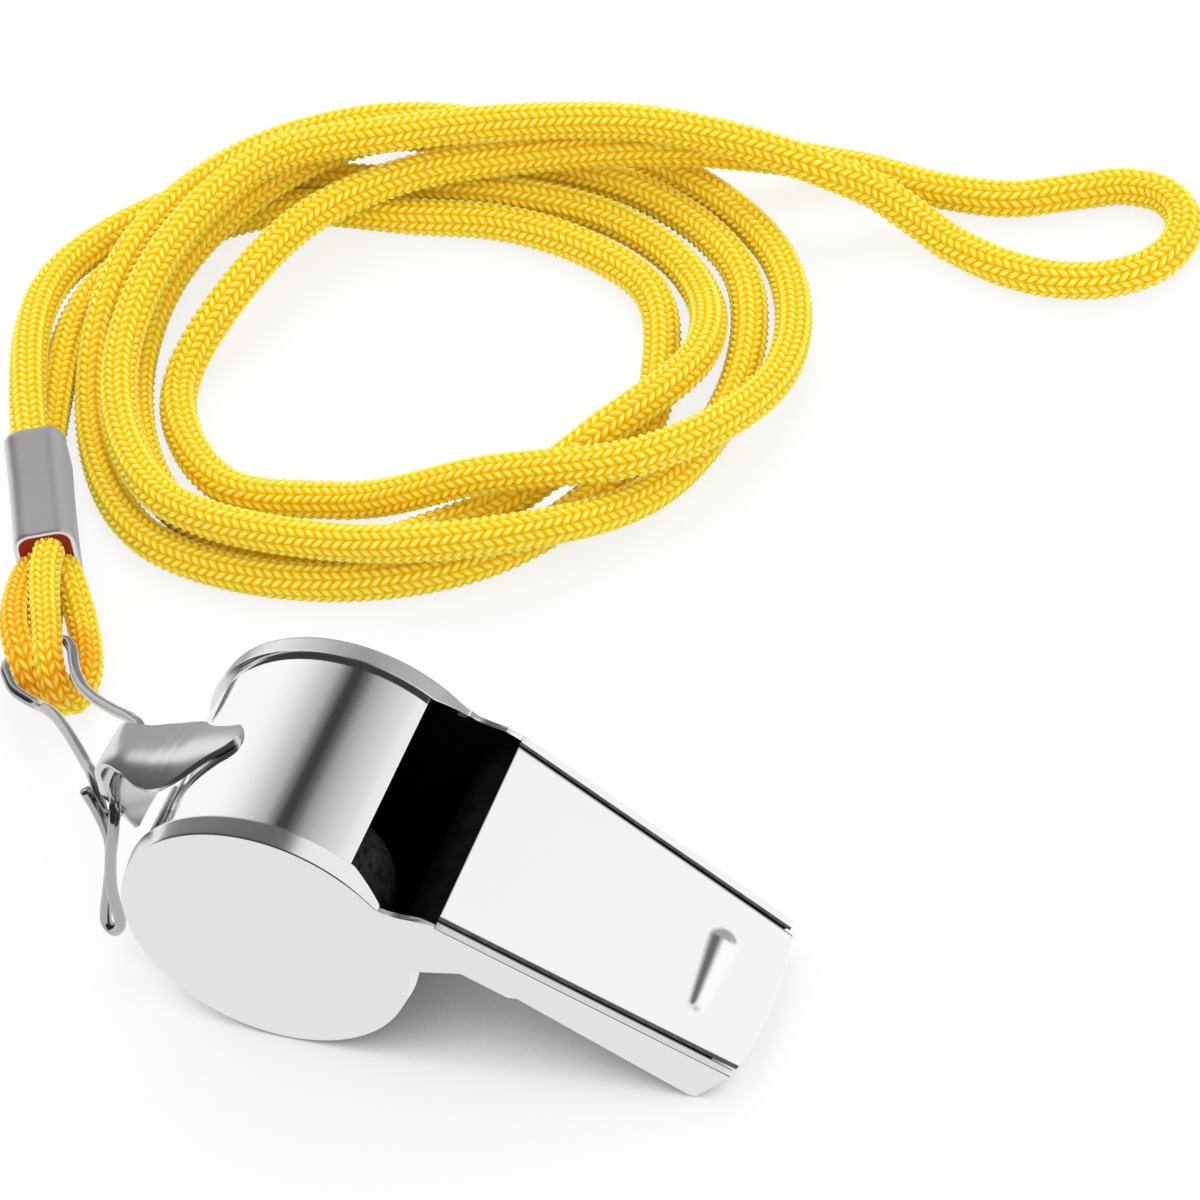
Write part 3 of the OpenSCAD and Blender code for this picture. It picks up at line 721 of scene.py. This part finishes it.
def side_plate(name, side):
    """side is -1 for the near plate and 1 for the far one."""
    bm = bmesh.new()

    def vert(x, z, y_in):
        y = side * (HALF_W - y_in - SIDE_SLOPE * max(0.0, x - BEND_X))
        return bm.verts.new((BARREL_X + x, y, z))

    def skirt(rows):
        """Joins the rows of a rolled-over edge, from the face's edge inward."""
        for r0, r1 in zip(rows, rows[1:]):
            for i in range(len(r0) - 1):
                quad = (r0[i], r0[i + 1], r1[i + 1], r1[i])
                bm.faces.new(quad[::-1] if side < 0 else quad)

    angles = [FLANGE_END + (KNEE_ANGLE - FLANGE_END) * i / 300 for i in range(301)]
    shrink = [sqrt(share_of(a, FLANGE_END, FLANGE_END + 5))
              * sqrt(share_of(KNEE_ANGLE - a, 0, 3)) for a in angles]
    tip_top_u = REST_U + TIP_SETBACK
    fold_us = [tip_top_u + (WINDOW_EDGE - tip_top_u) * i / FOLD_STEPS
               for i in range(FOLD_STEPS + 1)]
    under = [
        THROAT_KNEE,
        mouth_point(UNDER_STEP_U - 0.6 * MM, DISC_R - THROAT_DEPTH - 0.02 * MM),
        mouth_point(UNDER_STEP_U, DISC_R - THROAT_DEPTH + UNDER_STEP_H),
        mouth_point(REST_U - 0.6 * MM, REST_V + 0.02 * MM),
        mouth_point(REST_U, REST_V + 0.25 * MM)]
    shoulder_x, shoulder_z = mouth_point(WINDOW_EDGE, DISC_R)
    rim_verts = [vert(*rim_point(a, DISC_R - RIM_DROP * c), 0) for a, c in zip(angles, shrink)]
    under_verts = [vert(x, z, 0) for x, z in under]
    top_verts = [vert(*mouth_point(u, DISC_R - FOLD_EDGE_R), 0) for u in fold_us]
    neck_verts = [vert(shoulder_x + dx * MM, shoulder_z + dz * MM, 0) for dx, dz in NECK_STEPS]
    outline = rim_verts + under_verts + top_verts + neck_verts
    face = bm.faces.new(outline if side < 0 else outline[::-1])
    rim_rows = [rim_verts]
    for inward, drop in rim_profile()[1:]:
        rim_rows.append([vert(*rim_point(a, DISC_R - drop * c), inward * lap_share(a))
                         for a, c in zip(angles, shrink)])
    skirt(rim_rows)
    fold_rows = [top_verts]
    for inward, drop in fold_profile():
        fold_rows.append([vert(*mouth_point(u, DISC_R - drop), inward) for u in fold_us])
    skirt(fold_rows)
    bmesh.ops.bisect_plane(bm, geom=[face] + list(face.edges) + list(face.verts),
                           plane_co=(BARREL_X + BEND_X, 0, 0), plane_no=(1, 0, 0))
    bmesh.ops.triangulate(bm, faces=[f for f in bm.faces if len(f.verts) > 4])
    bmesh.ops.recalc_face_normals(bm, faces=bm.faces)
    mesh = bpy.data.meshes.new(name)
    bm.to_mesh(mesh)
    bm.free()
    ob = link(name, mesh)
    thicken(ob, SHEET, -1.0)
    return finish_sheet(ob, 0.09 * MM, angle=50)


# The lug, bent from one strap
LUG_T = 0.5 * MM
LUG_HALF_W = 4.1 * MM
LUG_FOOT_ANGLE = 111
LUG_LEAVE_ANGLE = 140
LUG_FILLET_R = 3 * MM
LUG_REACH = DISC_R + 3.95 * MM
LUG_CREST_R = 1.25 * MM
LUG_CREST_H = DISC_R + 5.6 * MM
LUG_HEEL_R = 0.95 * MM
LUG_HEEL_H = DISC_R + 3.7 * MM
LUG_END = (-DISC_R - 1.75 * MM, DISC_R + 0.25 * MM)
# The leaf's half width by the share of the way from its tip, as shares of LUG_HALF_W
LEAF_SHARES = [(0, 0), (0.01, 0.17), (0.03, 0.27), (0.07, 0.37), (0.13, 0.46), (0.3, 0.76),
               (0.45, 0.99), (0.53, 1), (0.65, 0.88), (0.75, 0.7), (0.88, 0.58), (1.02, 0.56)]
LEAF_L = 12.025 * MM
LEAF_PART = 0.55
LEAF_SOFTENING = 500
LEAF_CROWN = 48
LEAF_RIDGE = 0.1
RIDGE_ROUND = 0.7 * MM
RIDGE_SHIFT = 1.6 * MM
STRAP_COLUMNS = 31


def lug_line():
    """The strap's middle line, from its foot on the barrel to the end of its crook."""
    foot_r = SHELL_R + LUG_T / 2
    leave = rim_point(LUG_LEAVE_ANGLE, foot_r)
    out = radians(LUG_LEAVE_ANGLE)
    fillet = (leave[0] + LUG_FILLET_R * cos(out), leave[1] + LUG_FILLET_R * sin(out))
    line = arc((0, DISC_R), foot_r, LUG_FOOT_ANGLE, LUG_LEAVE_ANGLE, 16)
    line += arc(fillet, LUG_FILLET_R, LUG_LEAVE_ANGLE + 172, 250, 16)
    line += arc((LUG_CREST_R - LUG_REACH, LUG_CREST_H), LUG_CREST_R, 82, 180, 14)
    line += arc((LUG_HEEL_R - LUG_REACH, LUG_HEEL_H), LUG_HEEL_R, 180, 215, 8)
    return line + [LUG_END]


def leaf_rise(y, half):
    """How far the leaf stands above its middle line, bent lengthwise nearer to one edge."""
    off = y + RIDGE_SHIFT
    ridge = hypot(off, RIDGE_ROUND) - RIDGE_SHIFT
    return LEAF_CROWN * (half ** 2 - off ** 2) - LEAF_RIDGE * ridge


def lug_strap():
    line = resample_line(lug_line(), 0.12 * MM)
    p = np.array([(x, 0, z) for x, z in line])
    leaf_points = int(len(p) * LEAF_PART)
    p[:leaf_points] = soften(p[:leaf_points], LEAF_SOFTENING)
    p = soften(p, 6)
    leaf_tip = p[0][0]
    crest_at = int(np.argmin(p[:, 0]))
    rows = []
    for i, (x, _, z) in enumerate(p):
        share = (leaf_tip - x) / LEAF_L if i <= crest_at else 1.0
        half = max(LUG_HALF_W * np.interp(share, *zip(*LEAF_SHARES)), 0.25 * MM)
        crown = min(1.0, max(0.25, (0.98 - share) / 0.15))
        ys = [half * sin(pi / 2 * (-1 + 2 * k / (STRAP_COLUMNS - 1)))
              for k in range(STRAP_COLUMNS)]
        rows.append([(x, y, z + crown * leaf_rise(y, half)) for y in ys])
    ob = link_rows("lug_strap", rows)
    thicken(ob, LUG_T, 0.0)
    return finish_sheet(ob, 0.1 * MM, angle=50)


# The sleeve
SLEEVE_STATIONS = 26
SLEEVE_PINCH = 0.16 * MM


def sleeve_point(along, across, z):
    c, s = cos(SLEEVE_TURN), sin(SLEEVE_TURN)
    x = SLEEVE_MID[0] + along * c - across * s
    return Vector((x, SLEEVE_MID[1] + along * s + across * c, z)) + ORIGIN


def sleeve_ring(along, w, h, r):
    """A rectangle w by h with corners of radius r, across the sleeve."""
    ring = []
    for corner, (sx, sz) in enumerate(((1, 1), (-1, 1), (-1, -1), (1, -1))):
        cx, cz = sx * (w / 2 - r), sz * (h / 2 - r)
        for k in range(7):
            a = radians(90 * corner + 90 * k / 6)
            ring.append(sleeve_point(along, cx + r * cos(a), SLEEVE_H / 2 + cz + r * sin(a)))
    return ring


def crimp_sleeve():
    """Pressed metal tube, pinched a little toward its middle."""
    shares = [i / SLEEVE_STATIONS for i in range(SLEEVE_STATIONS + 1)]
    rows = []
    for wall, way in ((0, shares), (SLEEVE_WALL, reversed(shares))):
        for share in way:
            pinch = SLEEVE_PINCH * sin(pi * share)
            rows.append(sleeve_ring(
                SLEEVE_L * (share - 0.5), SLEEVE_W - pinch - 2 * wall,
                SLEEVE_H - pinch * 0.5 - 2 * wall, SLEEVE_ROUND - wall))
    rows.append(rows[0])
    points = np.array([[list(v) for v in ring] for ring in rows])
    ob = link("sleeve_tube", grid_mesh("sleeve_tube", points, caps=False))
    weld = ob.modifiers.new("weld", "WELD")
    weld.merge_threshold = 0.01 * MM
    return finish_sheet(ob, 0.08 * MM, angle=50)


# Stage and light
FLOOR_HALF = 6.0
FLOOR_COLOUR = evenly(0.98)
SHADE_REACH = 0.03
# Where the painted shadow ends: behind the whistle, left of its barrel's axis and round its tip
SHADE_ENDS_BEHIND = (0.012, 0.03)
SHADE_ENDS_LEFT = (0.014, 0.022)
SHADE_ENDS_AT_TIP = (-0.001, 0.003)
OPEN_FLOOR = (0.3, 0.66)
# Colours of the painted shadow, darker where the whistle closes the floor in
SHADE_STOPS = [(0.1, evenly(0.4)), (0.35, evenly(0.75)), (0.5, FLOOR_COLOUR)]
BACKDROP_SHARE = 0.8
MIRRORED_FLOOR_LEVEL = 0.9
MIRRORED_FLOOR_CLEARS = (0.012, 0.05)
FAR_LOW_LEVEL = 175
FAR_LOW_Y = (0.7, 0.78)


def make_floor():
    size = FLOOR_HALF
    mesh = bpy.data.meshes.new("floor")
    mesh.from_pydata([(-size, -size, 0), (size, -size, 0), (size, size, 0), (-size, size, 0)],
                     [], [(0, 1, 2, 3)])
    ob = link("floor", mesh)
    mat = bpy.data.materials.new("floor_paper")
    mat.use_nodes = True
    tree = mat.node_tree
    tree.nodes.clear()
    place = tree.nodes.new("ShaderNodeTexCoord").outputs["Object"]
    x, y, _ = split_xyz(tree, place)

    # A painted shadow in the paper's colour, darker where the whistle closes the floor in, in
    # front of it; the paper is plain behind it and at its ends
    contact = tree.nodes.new("ShaderNodeAmbientOcclusion")
    contact.samples = 8
    contact.inputs["Distance"].default_value = SHADE_REACH
    shade = ramp(tree, SHADE_STOPS, contact.outputs["AO"], "LINEAR")
    behind = step_node(tree, y, *SHADE_ENDS_BEHIND)
    tip_x = BARREL_X + TIP_REST[0]
    beyond_tip = step_node(tree, x, *(tip_x + end for end in SHADE_ENDS_AT_TIP))
    leftward = math_node(tree, "MULTIPLY", x, -1.0)
    at_eyes = step_node(tree, leftward, *(end - BARREL_X for end in SHADE_ENDS_LEFT))
    plain = math_node(tree, "MAXIMUM", behind, math_node(tree, "MAXIMUM", beyond_tip, at_eyes))
    paper = tree.nodes.new("ShaderNodeBsdfDiffuse")
    tree.links.new(mix_colours(tree, plain, shade, FLOOR_COLOUR), paper.inputs["Color"])

    # White is added for the camera's own rays alone: painted light that clears the floor's faint
    # shade, and most of it behind the whistle and at its ends
    open_floor = step_node(tree, contact.outputs["AO"], *OPEN_FLOOR)
    wash = math_node(tree, "MULTIPLY", math_node(tree, "MAXIMUM", plain, open_floor),
                     BACKDROP_SHARE)
    wash = math_node(tree, "MULTIPLY", wash, camera_ray(tree))
    white = tree.nodes.new("ShaderNodeEmission")
    backdrop = mix_shaders(tree, wash, paper.outputs[0], white.outputs[0])

    # What the metal mirrors is a painted reflection, a glow seen in mirror rays alone: bright
    # paper, and grey where it lies far behind the whistle
    from_whistle = tree.nodes.new("ShaderNodeVectorMath")
    from_whistle.operation = "SUBTRACT"
    from_whistle.inputs[1].default_value = (BARREL_X - 0.7 * DISC_R, 0, 1.3 * DISC_R)
    tree.links.new(place, from_whistle.inputs[0])
    heading = tree.nodes.new("ShaderNodeVectorMath")
    heading.operation = "NORMALIZE"
    tree.links.new(from_whistle.outputs[0], heading.inputs[0])
    far_way = step_node(tree, split_xyz(tree, heading.outputs[0])[1], *FAR_LOW_Y)
    bright = mix_colours(tree, step_node(tree, y, *MIRRORED_FLOOR_CLEARS),
                         evenly(MIRRORED_FLOOR_LEVEL), FLOOR_COLOUR)
    mirrored = tree.nodes.new("ShaderNodeEmission")
    tree.links.new(mix_colours(tree, far_way, bright, evenly(grey(FAR_LOW_LEVEL))),
                   mirrored.inputs["Color"])
    seen = mix_shaders(tree, first_reflection(tree), backdrop, mirrored.outputs[0])
    out = tree.nodes.new("ShaderNodeOutputMaterial")
    tree.links.new(seen, out.inputs["Surface"])
    mesh.materials.append(mat)


# Brightness of the studio round the barrel's axis, by the angle above the blown end's side
STUDIO_BANDS = [
    (-30, 250), (22, 250), (30, 240), (37, 238), (45, 222), (55, 207), (66, 186), (75, 158),
    (82, 104), (88, 62), (94, 66), (100, 130), (106, 176), (116, 203), (128, 230), (140, 247),
    (152, 253), (180, 254)]
DOME_LEVEL = 0.86
CAMERA_SIDE_LEVEL = 0.13
DARKEST_LEVEL = 0.04
RIGHT_BOX_LEVEL = 0.97
# Where one part of the studio gives way to the next, in the heading's X or Y
FAR_SIDE_Y = (0.43, 0.55)
RIGHT_BOX_X = (0.16, 0.34)
RIGHT_BOX_Y = (-0.1, 0.15)
DARKEST_Y = (-0.1, 0.3)


def background(tree, level):
    node = tree.nodes.new("ShaderNodeBackground")
    node.inputs["Color"].default_value = (1, 1, 1, 1)
    node.inputs["Strength"].default_value = level
    return node


def make_world():
    world = bpy.data.worlds.new("studio")
    bpy.context.scene.world = world
    world.use_nodes = True
    tree = world.node_tree
    tree.nodes.clear()
    coord = tree.nodes.new("ShaderNodeTexCoord")
    x, y, z = split_xyz(tree, coord.outputs["Generated"])

    # Behind the whistle, bands round the barrel's axis, with a grey patch farthest back
    first, last = STUDIO_BANDS[0][0], STUDIO_BANDS[-1][0]
    turn = tree.nodes.new("ShaderNodeMapRange")
    turn.inputs["From Min"].default_value = radians(first)
    turn.inputs["From Max"].default_value = radians(last)
    tree.links.new(math_node(tree, "ARCTAN2", z, x), turn.inputs["Value"])
    stops = [((a - first) / (last - first), evenly(grey(v))) for a, v in STUDIO_BANDS]
    band = ramp(tree, stops, turn.outputs["Result"], "LINEAR")
    far_way = step_node(tree, y, *FAR_LOW_Y)
    far_side = mix_colours(tree, far_way, band, evenly(grey(FAR_LOW_LEVEL)))

    # In front, a dark room with one bright box at the right
    right_box = math_node(tree, "MULTIPLY", step_node(tree, x, *RIGHT_BOX_X),
                          step_node(tree, y, *RIGHT_BOX_Y))
    room = mix_colours(tree, step_node(tree, y, *DARKEST_Y), evenly(DARKEST_LEVEL),
                       evenly(CAMERA_SIDE_LEVEL))
    camera_side = mix_colours(tree, right_box, room, evenly(RIGHT_BOX_LEVEL))
    shade = mix_colours(tree, step_node(tree, y, *FAR_SIDE_Y), camera_side, far_side)
    mirrored = background(tree, 1.0)
    tree.links.new(shade, mirrored.inputs["Color"])

    # Matt things see an even dome, and the camera sees white
    lit = mix_shaders(tree, first_reflection(tree), background(tree, DOME_LEVEL).outputs[0],
                      mirrored.outputs[0])
    seen = mix_shaders(tree, camera_ray(tree), lit, background(tree, 1.0).outputs[0])
    out = tree.nodes.new("ShaderNodeOutputWorld")
    tree.links.new(seen, out.inputs["Surface"])


def make_lamp(name, place, aim, size, power):
    data = bpy.data.lights.new(name, "AREA")
    data.shape = "DISK"
    data.size = size
    data.energy = power
    ob = bpy.data.objects.new(name, data)
    bpy.context.collection.objects.link(ob)
    ob.location = place
    ob.rotation_euler = (Vector(aim) - Vector(place)).to_track_quat("-Z", "Y").to_euler()
    ob.visible_glossy = False


# Routes of the cord, its eyes and the clip's wire
COIL_STEPS = 24
EYE_STEPS = 12
WIRE_STEPS = 10
LEAD_L = 2.8 * MM
# How far from the clip's wire the painted shade on the eyes reaches
WIRE_SHADE_REACH = 3 * MM


def by_sleeve(along, across, z):
    """A point by the sleeve, from places across and up in millimetres, in millimetres itself."""
    return tuple((sleeve_point(along, across * MM, z * MM) - ORIGIN) / MM)


def lead(across, z):
    """The cord's way out of the sleeve's back end."""
    return [by_sleeve(-SLEEVE_L / 2 - out, across, z) for out in (0, LEAD_L)]


def strand(rows):
    """Points of one strand of the coil, from its radii and heights at steady steps round it."""
    out = []
    for i, (r, z) in enumerate(rows):
        turn = radians(COIL_START - i * COIL_STEP)
        out.append((COIL_MID[0] / MM + r * cos(turn), COIL_MID[1] / MM + r * sin(turn), z))
    return out


def cord_route():
    points = (lead(0.6, LOW) + strand(FIRST_STRAND) + END_LOOP + strand(SECOND_STRAND)[::-1]
              + lead(-0.3, 5)[::-1])
    route = smooth_route(points, COIL_STEPS)
    route[:, 2] = np.maximum(route[:, 2], LOW)
    return from_mm(route)


def eye_route(points, out, back):
    """From the sleeve's front end through the points and back into it."""
    ends = [by_sleeve(SLEEVE_L / 2, *place) for place in (out, back)]
    return from_mm(smooth_route([ends[0]] + points + [ends[1]], EYE_STEPS))


# Choice of finish for a face, by its place and the way it looks: painted shade inside the whistle
# and in its seams, and painted light on the far fold's top
LID_UP = Vector((sin(PITCH), 0, cos(PITCH)))
BLOWN_WAY = Vector((cos(PITCH), 0, -sin(PITCH)))
SHOULDER_X = BARREL_X + mouth_point(WINDOW_EDGE, DISC_R)[0]


def faces_axis(poly):
    """A face of the barrel's wall that looks into the barrel."""
    mid = poly.center
    toward = Vector((BARREL_X - mid.x, 0, DISC_R - mid.z))
    return toward.length < SHELL_R - 0.15 * MM and poly.normal.dot(toward) > 0


def lines_air_way(poly):
    """The top of the strip under the mouthpiece's lid."""
    return poly.center.x > BARREL_X + DISC_R and poly.normal.dot(LID_UP) > 0.6


def looks_inward(poly, nearest, farthest, turned):
    """A face that looks across the whistle from a depth under its side."""
    mid = poly.center
    depth = half_width(mid.x - BARREL_X) - abs(mid.y)
    across = poly.normal.y * mid.y < 0 and abs(poly.normal.y) > turned
    return nearest < depth < farthest and across


def in_seam(poly):
    """The wall of the narrow seam between a plate's fold and the lid."""
    return looks_inward(poly, FOLD_W * 0.72, FOLD_W * 1.1, 0.35)


def on_fold(poly):
    """The top of the plate's edge where it is folded over beside the lid."""
    return poly.center.x > SHOULDER_X - 1 * MM and poly.normal.dot(LID_UP) > 0.4


# The barrel's inner wall and the air way's floor take the near black of painted shade
def strip_finish(poly):
    return int(faces_axis(poly) or lines_air_way(poly))


# The lid's underside takes the near black of painted shade, and its rolled edges the dark grey of
# painted seam shade
def lid_finish(poly):
    if poly.normal.dot(LID_UP) < -0.5:
        return 2
    return int(abs(poly.normal.y) > 0.5)


# Seam walls take the dark grey of painted seam shade, and faces that look across the whistle the
# near black of painted shade
def near_finish(poly):
    if in_seam(poly):
        return 2
    return int(looks_inward(poly, SHEET * 0.7, SHEET * 1.5, 0.7))


# The far plate's fold top takes the lid's flat finish: painted light, lighter than the near fold's
# top
def far_finish(poly):
    return 3 if on_fold(poly) and not in_seam(poly) else near_finish(poly)


def flank_share(vertex):
    """How far the lid's surface is turned toward the barrel or sideways, from 0 to 1."""
    turned = max(-vertex.normal.dot(BLOWN_WAY), abs(vertex.normal.y))
    return share_of(turned, 0.03, 0.18)


def paint(ob, finishes, pick=None):
    """Gives the object its finishes, and each face the one that pick numbers."""
    ob.data.materials.clear()
    for finish in finishes:
        ob.data.materials.append(finish)
    if pick:
        for poly in ob.data.polygons:
            poly.material_index = pick(poly)


def dress(ob, body, slot_name, *nodes):
    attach(ob, body)
    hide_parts(*nodes)


# Scene

make_camera()

# The cord's yarn carries painted light on its stitches' crests and painted shade between them
yarn = yarn_material("golden_yarn", YARN_STOPS)
# The eyes' yarn carries painted shade near the clip's wire
eye_yarn = yarn_material("wire_shaded_yarn", YARN_STOPS, WIRE_SHADE_STOPS)
core_shade_yarn = yarn_material("core_shade_yarn", CORE_SHADE_STOPS)
strip_plate = plate_material("bright_strip", (0.95, 0.95, 0.955), 0.07)
lid_plate = lid_material()
side_metal = plate_material("satin_side", (0.86, 0.86, 0.865), 0.2)
lug_metal = plate_material("bright_lug", (0.77, 0.77, 0.775), 0.25)
wire_metal = plate_material("spring_wire", (0.46, 0.46, 0.47), 0.14)
sleeve_metal = plate_material("sleeve_strip", (0.84, 0.83, 0.82), 0.45, wear=0.16)
# Painted shade: a dark grey on the lid's rolled edges and on the walls of the seams beside it
seam_dark = matt_material("painted_seam_shade", 1500.0, 3.0, [
    (0.3, (0.09, 0.088, 0.086)), (0.7, (0.15, 0.147, 0.144))], 0.6, 0.1)
# Painted shade: a near black on the faces inside the whistle, under its lid and across its side
# plates
inside = matt_material("dark_inside", 700.0, 3.0, [
    (0.3, (0.0035, 0.0035, 0.0036)), (0.75, evenly(0.007))], 0.65, 0.08)
cork = matt_material("dark_cork", 1400.0, 5.0, [
    (0.35, (0.03, 0.027, 0.024)), (0.5, (0.075, 0.069, 0.063)),
    (0.72, (0.11, 0.101, 0.092))], 0.8, 0.15, relief=0.5)

cord_ob, cord_line = knit_tube("knitted_cord", cord_route(), CORD_D, CORD_TWIST)
paint(cord_ob, [yarn])
dress(cord_ob, "lanyard", "cord_yarn", "neck_cord")

wire_line = soften(resample(from_mm(smooth_route(WIRE_ROUTE, WIRE_STEPS)), 0.15 * MM)[0], 4)


def wire_shade_share(point, least):
    """Depth of the painted shade on the cord at a point, from its distance to the clip's wire, and
    never under least.
    """
    gap = np.linalg.norm(wire_line - point, axis=1).min() - WIRE_D / 2
    return max(least, 1 - share_of(gap, 0, WIRE_SHADE_REACH))


def cord_eye(name, route, least_wire_shade, node):
    eye, _ = knit_tube(name, route, EYE_D)
    point_values(eye, "wire_shade", [wire_shade_share(np.array(v.co), least_wire_shade)
                                  for v in eye.data.vertices])
    paint(eye, [eye_yarn])
    dress(eye, "lanyard", "cord_yarn", node)
    return eye


# Painted shade on both eyes near the clip's wire, and on the lower eye at half depth or more all
# along
upper_eye = cord_eye("upper_eye_cord", eye_route(UPPER_EYE, (0.35, 4.9), (1.1, 2.9)), 0.0,
                     "upper_cord_eye")
lower_eye = cord_eye("lower_eye_cord", eye_route(LOWER_EYE, (-1.0, 3.4), (-0.35, 1.5)), 0.5,
                     "lower_cord_eye")

shell = barrel_strip()
paint(shell, [strip_plate, inside], strip_finish)
dress(shell, "whistle", "plated_strip", "barrel_strip")

lid = lid_solid()
paint(lid, [lid_plate, seam_dark, inside], lid_finish)
# Painted light and shade on the lid, by how far each point is turned from its flat
point_values(lid, "flank", [flank_share(vertex) for vertex in lid.data.vertices])
dress(lid, "whistle", "plated_strip", "mouthpiece_top")

air_ramp = ramp_solid()
# The air ramp is all painted shade, a near black
paint(air_ramp, [inside])
dress(air_ramp, "whistle", "plated_inside", "windway_ramp")

near_plate = side_plate("near_plate", -1)
paint(near_plate, [side_metal, inside, seam_dark], near_finish)
dress(near_plate, "whistle", "plated_side", "near_side_plate")

far_plate = side_plate("far_plate", 1)
# The far plate carries painted light on its fold's top, and painted shade inside and in its seam
paint(far_plate, [side_metal, inside, seam_dark, lid_plate], far_finish)
dress(far_plate, "whistle", "plated_side", "far_side_plate")

lug = lug_strap()
paint(lug, [lug_metal])
dress(lug, "whistle", "plated_lug", "lanyard_lug")

wire = round_tube("clip_wire", wire_line, WIRE_D / 2, 24)
paint(wire, [wire_metal])
dress(wire, "clip", "spring_wire", "wire_clip")

sleeve = crimp_sleeve()
paint(sleeve, [sleeve_metal])
dress(sleeve, "lanyard", "sleeve_metal", "crimp_sleeve")

# The cord's end in the sleeve is painted shade, a dark red
core_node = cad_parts["crimped_cord_core"]
paint(core_node, [core_shade_yarn])
paint(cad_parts["cork_pea"], [cork])

cord_length = float(np.linalg.norm(np.diff(cord_line, axis=0), axis=1).sum())
cord_path = [tuple(p) for p in cord_line[::12]] + [tuple(cord_line[-1])]
tuple(cord_line[0])

# The cord leaves no yellow in the plate, whose reflections come from the floor and the studio
for ob in (cord_ob, upper_eye, lower_eye, core_node):
    ob.visible_glossy = False

make_floor()
make_world()
view = bpy.context.scene.view_settings
view.view_transform = "Standard"
make_lamp("key", (-0.25 + BARREL_X, 0.75, 1.1), (0, 0.03, 0), 0.7, 4.5)
make_lamp("fill", (0.9, -0.7, 1.2), (0, 0.03, 0), 0.9, 2)
